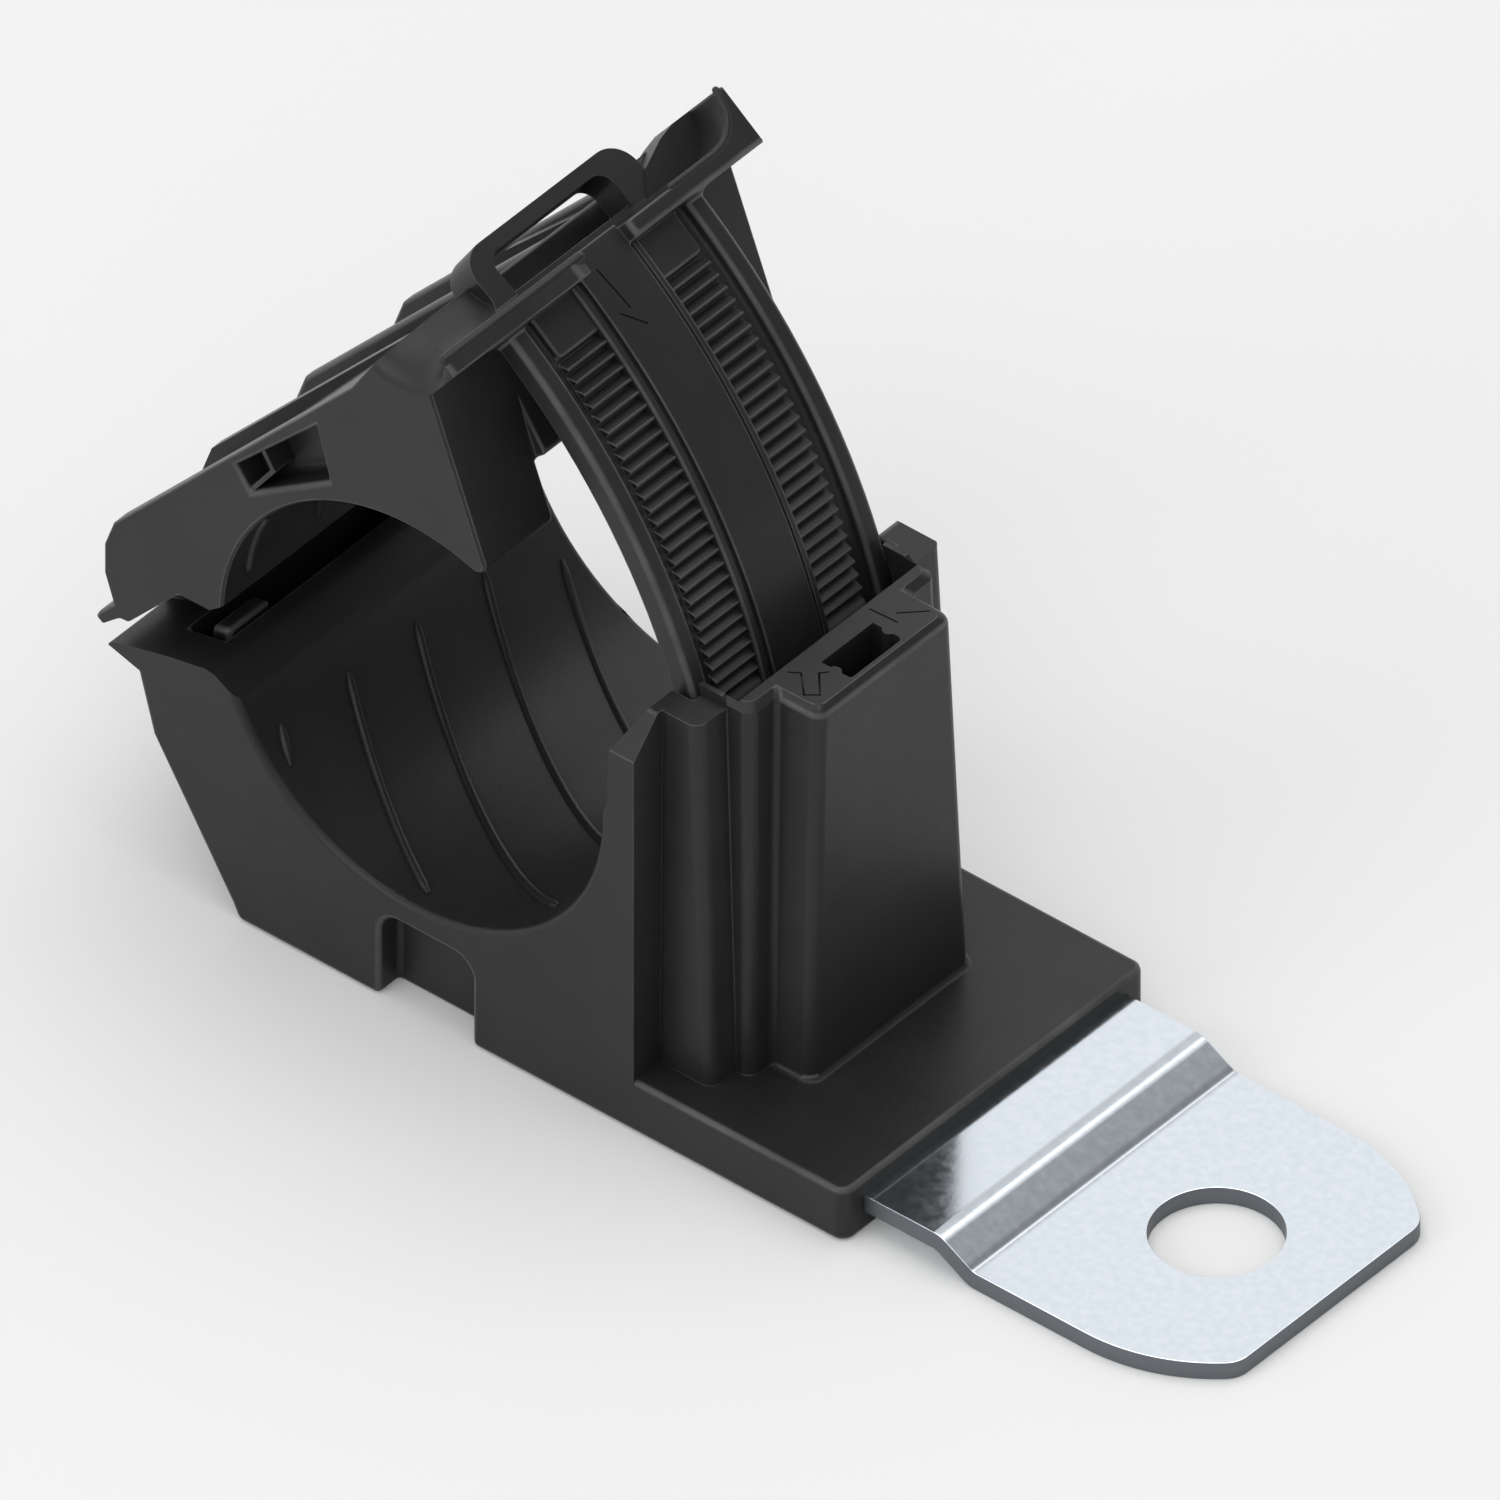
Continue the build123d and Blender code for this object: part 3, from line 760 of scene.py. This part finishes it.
def rod(points: list[Vector], radius: float, ring: int = 12) -> bpy.types.Mesh:
    """Round rod with domed ends along points.

    Args:
        points: Points of the axis.
        radius: Radius of the rod.
        ring: Corners round the rod.

    Returns:
        The closed mesh.
    """
    stations: list[tuple[Vector, Vector, float]] = []
    first, last = (points[1] - points[0]).normalized(), (points[-1] - points[-2]).normalized()
    domes = [math.radians(angle) for angle in ROD_DOME_DEG]
    for angle in domes:
        stations.append((points[0] - first * radius * math.cos(angle), first, math.sin(angle)))
    for index, point in enumerate(points):
        before, after = points[max(index - 1, 0)], points[min(index + 1, len(points) - 1)]
        stations.append((point, (after - before).normalized(), 1.0))
    for angle in reversed(domes):
        stations.append((points[-1] + last * radius * math.cos(angle), last, math.sin(angle)))
    sections = []
    for point, along, share in stations:
        side = along.cross(ROD_TWIST).normalized()
        up = along.cross(side)
        sections.append([point + (side * math.cos(a) + up * math.sin(a)) * radius * share
                         for a in (math.tau * corner / ring for corner in range(ring))])
    return swept(sections)


def raised_rib(line: list[tuple[Vector, Vector, Vector]], width: float, rise: float) -> bpy.types.Mesh:
    """Raised bead with a round back and blunt ends that follows a surface.

    Args:
        line: Point, direction across and direction out of the surface, for each step.
        width: Width of the bead.
        rise: Height of the bead.

    Returns:
        The closed mesh.
    """
    verts: list[Vector] = []
    faces: list[list[int]] = []
    last = len(line) - 1
    for step, (point, across, out) in enumerate(line):
        share = min(1.0, RIB_TAPER[0] + RIB_TAPER[1] * min(step, last - step))
        for corner in range(RIB_CORNERS + 1):
            a = math.pi * corner / RIB_CORNERS
            verts.append(point + across * (math.cos(a) * width / 2 * share)
                         + out * (math.sin(a) * rise * share))
        verts.append(point - out * RIB_ROOT * rise)
    size = RIB_CORNERS + 2
    for step in range(last):
        for corner in range(size):
            after = (corner + 1) % size
            faces.append([step * size + corner, step * size + after,
                          (step + 1) * size + after, (step + 1) * size + corner])
    faces.append(list(range(size)))
    faces.append([last * size + corner for corner in range(size)])
    return mesh_from(verts, faces)


def joined(name: str, meshes: list[bpy.types.Mesh]) -> bpy.types.Object:
    """Join meshes into one object.

    Args:
        name: Name of the object.
        meshes: The meshes, which are used up.

    Returns:
        The new object.
    """
    bm = bmesh.new()
    for mesh in meshes:
        bm.from_mesh(mesh)
        bpy.data.meshes.remove(mesh)
    whole = bpy.data.meshes.new(name)
    bm.to_mesh(whole)
    bm.free()
    whole.shade_smooth()
    whole.set_sharp_from_angle(angle=math.radians(SMOOTH_DEG))
    return link_object(name, whole)


@dataclass
class SubAssembly:
    """What the sub-assemblies share: the frame, the places and how pieces are dressed."""

    frame: dict[str, Any]
    places: Places
    finishes: dict[Slot, bpy.types.Material]

    def dress(self, piece: bpy.types.Object, body: Body, slot: Slot, *stands_for: str) -> None:
        """Give a piece the finish of its slot, and its body.

        Args:
            piece: The piece.
            body: Body that it rides on.
            slot: Material slot of the record.
            stands_for: CAD nodes that it stands for.
        """
        piece.data.materials.clear()
        piece.data.materials.append(self.finishes[slot])
        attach(piece, body.value)
        if stands_for:
            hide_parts(*stands_for)
        LOG.info("%s: %d faces on %s", piece.name, len(piece.data.polygons), body.value)


@dataclass
class GripRibs:
    """Slanting grip ribs on a stretch of the bundle surface."""

    first: float
    pitch: float
    count: int
    low_deg: float
    high_deg: float
    lean: float
    width: float = 0.62 * MM
    rise: float = 0.34 * MM
    margin: float = 1.5 * MM
    steps: int = 60

    def line(self, at: Places, index: int, half: float) -> list[tuple[Vector, Vector, Vector]]:
        """Line of one rib.

        Args:
            at: Places of the clamp.
            index: Number of the rib.
            half: Half width of the moulding.

        Returns:
            Point, direction across and direction out for each step inside the moulding.
        """
        start_x = at.on_jaw(at.jaw_r, self.low_deg, 0).x
        line = []
        for step in range(self.steps + 1):
            angle = self.low_deg + (self.high_deg - self.low_deg) * step / self.steps
            point = at.on_jaw(at.jaw_r, angle, 0)
            point.y = self.first + index * self.pitch + self.lean * (point.x - start_x)
            if abs(point.y) > half - self.margin:
                continue
            out = (Vector((at.jaw.x, point.y, at.jaw.z)) - point).normalized()
            along = Vector((-out.z, -self.lean * out.z, out.x)).normalized()
            line.append((point, along.cross(out).normalized(), out))
        return line

    def meshes(self, at: Places, half: float) -> list[bpy.types.Mesh]:
        """Meshes of all the ribs that are more than a few steps long.

        Args:
            at: Places of the clamp.
            half: Half width of the moulding.

        Returns:
            The closed meshes.
        """
        lines = [self.line(at, index, half) for index in range(self.count)]
        return [raised_rib(line, self.width, self.rise) for line in lines if len(line) > 3]


@dataclass
class BaseMoulding(SubAssembly):
    """Cradle, hinge lip, ratchet tower and foot in one moulding."""

    edge: Rounding = field(default_factory=Rounding)
    grip: GripRibs = field(default_factory=lambda: GripRibs(
        first=-12.7 * MM, pitch=6.8 * MM, count=5, low_deg=-145.0, high_deg=-50.0, lean=-0.575))
    seat_gap: float = 0.1 * MM
    mark_width: float = 0.13 * MM
    mark_depth: float = 0.16 * MM
    near_mark: tuple[tuple[float, float], ...] = (
        (-32.12, -4.76), (-31.41, -4.30), (-29.84, -5.87),
        (-29.05, -5.21), (-30.52, -3.55), (-30.14, -3.10),
    )
    far_marks: tuple[tuple[tuple[float, float], tuple[float, float]], ...] = (
        ((-32.15, 3.51), (-29.97, 3.63)),
        ((-30.55, 4.33), (-29.10, 5.81)),
    )

    def mark_tools(self) -> list[bpy.types.Mesh]:
        """Cutting blocks for the two engraved arrow outlines on top of the tower.

        Returns:
            The closed meshes.
        """
        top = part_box("lower_body")[1].z
        pairs = list(zip(self.near_mark, self.near_mark[1:])) + list(self.far_marks)
        tools = []
        for pair in pairs:
            start, end = (Vector((x * MM, y * MM, top)) for x, y in pair)
            tools.append(bar(start, end, Vector((0, 0, 1)), self.mark_width, self.mark_depth))
        return tools

    def build(self) -> None:
        """Make the moulding with its engraved marks and its grip ribs."""
        shell = moulded_copy(self.frame["nodes"]["lower_body"], "base_moulding")
        weld(shell)
        gap = Vector((1, 1, 1)) * self.seat_gap
        low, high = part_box("mounting_bracket")
        self.edge.seat = (low - gap, high + gap)
        self.edge.apply(shell)
        cut(shell, self.mark_tools())
        self.edge.shade(shell)
        self.dress(shell, Body.BASE, Slot.NYLON, "lower_body")
        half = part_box("lower_body")[1].y
        self.dress(joined("cradle_grip_ribs", self.grip.meshes(self.places, half)), Body.BASE, Slot.NYLON)


@dataclass
class LidMoulding(SubAssembly):
    """Hinged lid with its toothed strap."""

    edge: Rounding = field(default_factory=Rounding)
    grip: GripRibs = field(default_factory=lambda: GripRibs(
        first=-12.7 * MM, pitch=7.0 * MM, count=4, low_deg=172.0, high_deg=112.0, lean=-0.41))
    top_deg: float = 52.3
    tip_deg: float = 14.0
    land_r: float = 46.35 * MM
    guide: tuple[tuple[float, float], ...] = (
        (45.0, 2.4), (46.0, 2.4), (46.0, 2.74), (46.17, 2.76), (46.17, 3.32), (45.0, 3.36),
    )
    arc_steps: int = 64
    mark_width: float = 0.13 * MM
    mark_depth: float = 0.12 * MM
    marks: tuple[tuple[tuple[float, float], tuple[float, float]], ...] = (
        ((52.2, -0.95), (48.26, -0.57)),
        ((48.26, -1.48), (46.42, -0.17)),
    )
    lip_line: tuple[tuple[float, float, float], ...] = (
        (46.2, -14.9, 1.25), (47.15, -8.45, 1.25), (48.5, -4.3, 1.25), (48.55, -3.1, 1.25),
    )
    lip_rod_r: float = 0.42 * MM
    tab_front: float = 47.3 * MM
    tab_rod_r: float = 0.26 * MM
    tab_start: tuple[float, float] = (7.0 * MM, 9.0 * MM)
    flange_t: float = 1.3 * MM
    scoop_y: float = 11.4 * MM
    scoop_r: float = 3.2 * MM
    crest: tuple[tuple[float, float, float, float, float], ...] = (
        (-61.12, 55.75, 69.1, 2.4, 4.4), (-57.37, 54.32, 69.1, 2.4, 4.4), (-56.7, 54.11, 76.0, 2.4, 4.4),
        (-55.32, 54.05, 93.8, 2.2, 4.2), (-54.4, 54.24, 105.0, 2.0, 3.7), (-53.64, 54.57, 125.0, 1.6, 3.0),
        (-53.2, 55.12, 143.9, 1.2, 2.2), (-52.85, 55.6, 143.9, 0.8, 1.3), (-52.5, 56.08, 143.9, 0.35, 0.5),
    )
    crest_clear: float = 0.6 * MM
    crest_slip: float = 0.012 * MM
    crest_steps: int = 10
    pocket: tuple[tuple[float, float], ...] = (
        (-69.9, 38.1), (-68.75, 36.5), (-62.05, 41.0), (-63.15, 45.0),
    )
    pocket_floor: float = 13.0 * MM
    pocket_wall: float = 0.45 * MM
    pocket_slip: float = 0.02 * MM
    back_wall: float = 13.8 * MM
    frame_line: tuple[tuple[float, float], ...] = ((-67.82, 40.4), (-66.94, 39.06), (-68.6, 36.75))
    frame_width: float = 0.34 * MM
    frame_rim: float = 15.05 * MM

    def guide_rail(self, side: int) -> bpy.types.Mesh:
        """Low rail beside the land, which follows the strap.

        Args:
            side: -1 for the near side and 1 for the far side.

        Returns:
            The closed mesh.
        """
        sections = []
        for step in range(self.arc_steps + 1):
            angle = self.tip_deg + (self.top_deg - self.tip_deg) * step / self.arc_steps
            sections.append([self.places.on_strap(r * MM, angle, side * y * MM) for r, y in self.guide])
        return swept(sections)

    def on_flange(self, radius: float, y: float, height: float) -> Vector:
        """Point by its radius, place along the hinge and height over the flange's lower face.

        Args:
            radius: Distance from the hinge axis, along the flange.
            y: Place along the hinge.
            height: Height over the lower face.

        Returns:
            The point.
        """
        a = math.radians(self.top_deg)
        up = Vector((-math.sin(a), 0, math.cos(a)))
        return self.places.on_strap(radius, self.top_deg, y) + up * height

    def beads(self) -> list[bpy.types.Mesh]:
        """Round beads along the front lip and along the rim of the thumb tab.

        Returns:
            The closed meshes.
        """
        lip = [self.on_flange(r * MM, y * MM, h * MM) for r, y, h in self.lip_line]
        rim = [self.on_flange(self.tab_front, y, self.flange_t) for y in self.tab_start]
        for degrees in range(0, 91, 15):
            a = math.radians(degrees)
            y = self.scoop_y + self.scoop_r * math.sin(a)
            height = self.flange_t + self.scoop_r * (1 - math.cos(a))
            rim.append(self.on_flange(self.tab_front, y, height))
        return [rod(lip, self.lip_rod_r), rod(rim, self.tab_rod_r)]

    def crest_tools(self) -> list[bpy.types.Mesh]:
        """Cutting rod with a hollow face, which leaves the near end of the crest with a large soft round.

        Returns:
            The closed mesh, in a list.
        """
        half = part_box("upper_jaw")[1].y
        slip, steps = self.crest_slip, self.crest_steps
        sections = []
        for x, z, normal_deg, deep, wide in self.crest:
            a = math.radians(normal_deg)
            out, deep, wide = Vector((math.cos(a), 0, math.sin(a))), deep * MM, wide * MM
            ring = [(self.crest_clear, half + self.crest_clear), (slip - deep, half + self.crest_clear)]
            for step in range(steps + 1):
                b = math.pi / 2 * step / steps
                ring.append((slip - deep * (1 - math.sin(b)), half + slip - wide * (1 - math.cos(b))))
            ring.append((self.crest_clear, half + slip - wide))
            sections.append([Vector((x * MM, -y, z * MM)) + out * height for height, y in ring])
        return [swept(sections)]

    def pocket_outline(self, grow: float, y: float) -> list[Vector]:
        """Outline of the side pocket, grown all round.

        Args:
            grow: Distance from the pocket's own outline.
            y: Place along the hinge.

        Returns:
            The corners.
        """
        corners = [Vector(corner) * MM for corner in self.pocket]
        ring = []
        for index, corner in enumerate(corners):
            before = (corner - corners[index - 1]).normalized()
            after = (corners[(index + 1) % len(corners)] - corner).normalized()
            reach = grow / math.cos(before.angle(after) / 2)
            x, z = corner + (before - after).normalized() * reach
            ring.append(Vector((x, y, z)))
        return ring

    def pocket_cup(self, side: int) -> bpy.types.Mesh:
        """Cup behind the side pocket, which closes it towards the back of the lid.

        Args:
            side: -1 for the near side and 1 for the far side.

        Returns:
            The closed mesh.
        """
        slip = self.pocket_slip
        rim = self.back_wall + slip
        rings = ((self.pocket_wall, self.pocket_floor - self.pocket_wall), (self.pocket_wall, rim),
                 (slip, rim), (slip, self.pocket_floor - slip))
        return swept([self.pocket_outline(grow, side * y) for grow, y in rings])

    def pocket_frame(self, side: int) -> list[bpy.types.Mesh]:
        """Two thin walls that frame a small square at the low end of the side pocket.

        Args:
            side: -1 for the near side and 1 for the far side.

        Returns:
            The closed meshes.
        """
        middle = (self.frame_rim + self.pocket_floor) / 2
        depth = (self.frame_rim - self.pocket_floor) / 2
        ends = [Vector((x * MM, side * middle, z * MM)) for x, z in self.frame_line]
        return [bar(first, second, Vector((0, 1, 0)), self.frame_width, depth)
                for first, second in zip(ends, ends[1:])]

    def mark_tools(self) -> list[bpy.types.Mesh]:
        """Cutting blocks for the engraved arrow outline on the strap's land.

        Returns:
            The closed meshes.
        """
        at = self.places
        tools = []
        for (first_deg, first_y), (second_deg, second_y) in self.marks:
            start = at.on_strap(self.land_r, first_deg, first_y * MM)
            end = at.on_strap(self.land_r, second_deg, second_y * MM)
            out = (start + end) / 2 - at.hinge
            out.y = 0
            tools.append(bar(start, end, out.normalized(), self.mark_width, self.mark_depth))
        return tools

    def build(self) -> None:
        """Make the moulding with its guides, pocket walls, beads and ribs."""
        shell = moulded_copy(self.frame["nodes"]["upper_jaw"], "lid_moulding")
        weld(shell)
        self.edge.apply(shell)
        cut(shell, self.crest_tools() + self.mark_tools())
        self.edge.shade(shell)
        self.dress(shell, Body.LID, Slot.NYLON, "upper_jaw")
        guides = joined("strap_guides", [self.guide_rail(side) for side in (-1, 1)])
        frames = joined("pocket_frames", self.pocket_frame(-1) + self.pocket_frame(1))
        for piece in (guides, frames):
            self.edge.apply(piece)
            self.edge.shade(piece)
            self.dress(piece, Body.LID, Slot.NYLON)
        cups = joined("pocket_cups", [self.pocket_cup(side) for side in (-1, 1)])
        self.dress(cups, Body.LID, Slot.NYLON)
        self.dress(joined("lid_beads", self.beads()), Body.LID, Slot.NYLON)
        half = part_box("upper_jaw")[1].y
        self.dress(joined("lid_grip_ribs", self.grip.meshes(self.places, half)), Body.LID, Slot.NYLON)


@dataclass
class SteelFoot(SubAssembly):
    """Joggled steel strip with the bolt hole."""

    edge: Rounding = field(default_factory=lambda: Rounding(width=0.12 * MM, segments=2))

    def build(self) -> None:
        """Make the strip."""
        strip = moulded_copy(self.frame["nodes"]["mounting_bracket"], "steel_foot")
        weld(strip)
        self.edge.apply(strip)
        self.edge.shade(strip)
        self.dress(strip, Body.BASE, Slot.ZINC, "mounting_bracket")


@dataclass
class Studio:
    """Floor, lamps, world and camera."""

    azimuth_deg: float = 39.98
    elevation_deg: float = 39.76
    view_width: float = 96.84 * MM
    centre_right: float = -30.125 * MM
    centre_up: float = 32.198 * MM
    distance: float = 0.6
    floor_size: float = 4.0
    floor_drop: float = 0.02 * MM
    aim_height: float = 0.02
    clip: tuple[float, float] = (0.01, 20.0)
    world_level: float = 0.53
    bright_level: float = 1.1
    bright_side: tuple[float, float] = (0.1, 0.35)
    dark_side: float = 0.3
    lamps: tuple[tuple[str, Point, float, float], ...] = (
        ("key_lamp", (-0.28, -0.82, 0.42), 0.5, 1.3),
        ("front_lamp", (0.4, -0.6, 0.6), 0.4, 0.7),
        ("top_lamp", (-0.1, 0.1, 0.95), 0.9, 3.1),
    )

    def axes(self) -> tuple[Vector, Vector, Vector]:
        """Right, up and backward directions of the camera."""
        a, e = math.radians(self.azimuth_deg), math.radians(self.elevation_deg)
        back = Vector((math.sin(a) * math.cos(e), -math.cos(a) * math.cos(e), math.sin(e)))
        right = Vector((math.cos(a), math.sin(a), 0))
        return right, back.cross(right), back

    def camera(self) -> None:
        """Create the camera at the photograph's angle."""
        right, up, back = self.axes()
        data = bpy.data.cameras.new("camera")
        data.type = "ORTHO"
        data.ortho_scale = self.view_width
        data.clip_start, data.clip_end = self.clip
        made = bpy.data.objects.new("camera", data)
        turn = Matrix((right, up, back)).transposed().to_4x4()
        place = right * self.centre_right + up * self.centre_up + back * self.distance
        made.matrix_world = Matrix.Translation(place) @ turn
        bpy.context.scene.collection.objects.link(made)
        bpy.context.scene.camera = made

    def floor(self) -> None:
        """Lay the plain floor under the clamp."""
        half = self.floor_size / 2
        signs = ((-1, -1), (1, -1), (1, 1), (-1, 1))
        corners = [Vector((x * half, y * half, 0)) for x, y in signs]
        floor = link_object("floor", mesh_from(corners, [(0, 1, 2, 3)]))
        floor.location.z = -self.floor_drop
        floor.data.materials.append(PaleFloor().material())

    def world(self) -> None:
        """Light evenly from all round, with a white background that gloss sees as a soft box."""
        world = bpy.data.worlds.new("studio")
        bpy.context.scene.world = world
        world.use_nodes = True
        tree = world.node_tree

        def background(strength: float) -> Any:
            """White background node of a strength."""
            node = tree.nodes.new("ShaderNodeBackground")
            node.inputs[0].default_value = (1, 1, 1, 1)
            node.inputs[1].default_value = strength
            return node

        def mixed(share: Any, first: Any, second: Any) -> Any:
            """Mix of two backgrounds by a share."""
            node = tree.nodes.new("ShaderNodeMixShader")
            for socket, source in zip(node.inputs, (share, first.outputs[0], second.outputs[0])):
                tree.links.new(source, socket)
            return node

        ways = tree.nodes.new("ShaderNodeLightPath").outputs
        side = tree.nodes.new("ShaderNodeSeparateXYZ")
        tree.links.new(tree.nodes.new("ShaderNodeTexCoord").outputs["Generated"], side.inputs[0])
        fall = tree.nodes.new("ShaderNodeMapRange")
        fall.inputs[1].default_value, fall.inputs[2].default_value = self.bright_side
        fall.interpolation_type = "SMOOTHSTEP"
        tree.links.new(side.outputs["X"], fall.inputs["Value"])
        soft_box = mixed(fall.outputs[0], background(self.bright_level), background(self.dark_side))
        plain = mixed(ways["Is Glossy Ray"], background(self.world_level), soft_box)
        clear = mixed(ways["Is Transmission Ray"], plain, background(1.0))
        seen = mixed(ways["Is Camera Ray"], clear, background(1.0))
        tree.links.new(seen.outputs[0], tree.nodes["World Output"].inputs["Surface"])

    def light(self) -> None:
        """Hang the soft lamps, each aimed at the clamp."""
        target = Vector((self.centre_right, 0, self.aim_height))
        for name, place, size, watts in self.lamps:
            data = bpy.data.lights.new(name, "AREA")
            data.shape = "SQUARE"
            data.size = size
            data.energy = watts
            lamp = bpy.data.objects.new(name, data)
            lamp.location = place
            lamp.rotation_mode = "QUATERNION"
            lamp.rotation_quaternion = (target - Vector(place)).to_track_quat("-Z", "Y")
            bpy.context.scene.collection.objects.link(lamp)

    def build(self) -> None:
        """Set up the whole studio."""
        self.camera()
        self.floor()
        self.world()
        self.light()
        bpy.context.scene.view_settings.view_transform = "Standard"


def clear_scene() -> None:
    """Remove the default objects."""
    for item in list(bpy.data.objects):
        bpy.data.objects.remove(item)


def main() -> None:
    """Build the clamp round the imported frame."""
    logging.basicConfig(level=logging.INFO, format="%(name)s: %(message)s")
    clear_scene()
    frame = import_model()
    Studio().build()
    places = Places(frame["record"], frame["joints"])
    finishes = {Slot.NYLON: MouldedNylon().material(), Slot.ZINC: ZincPlate().material()}
    for part in (SteelFoot, BaseMoulding, LidMoulding):
        part(frame, places, finishes).build()


if __name__ == "__main__":
    main()
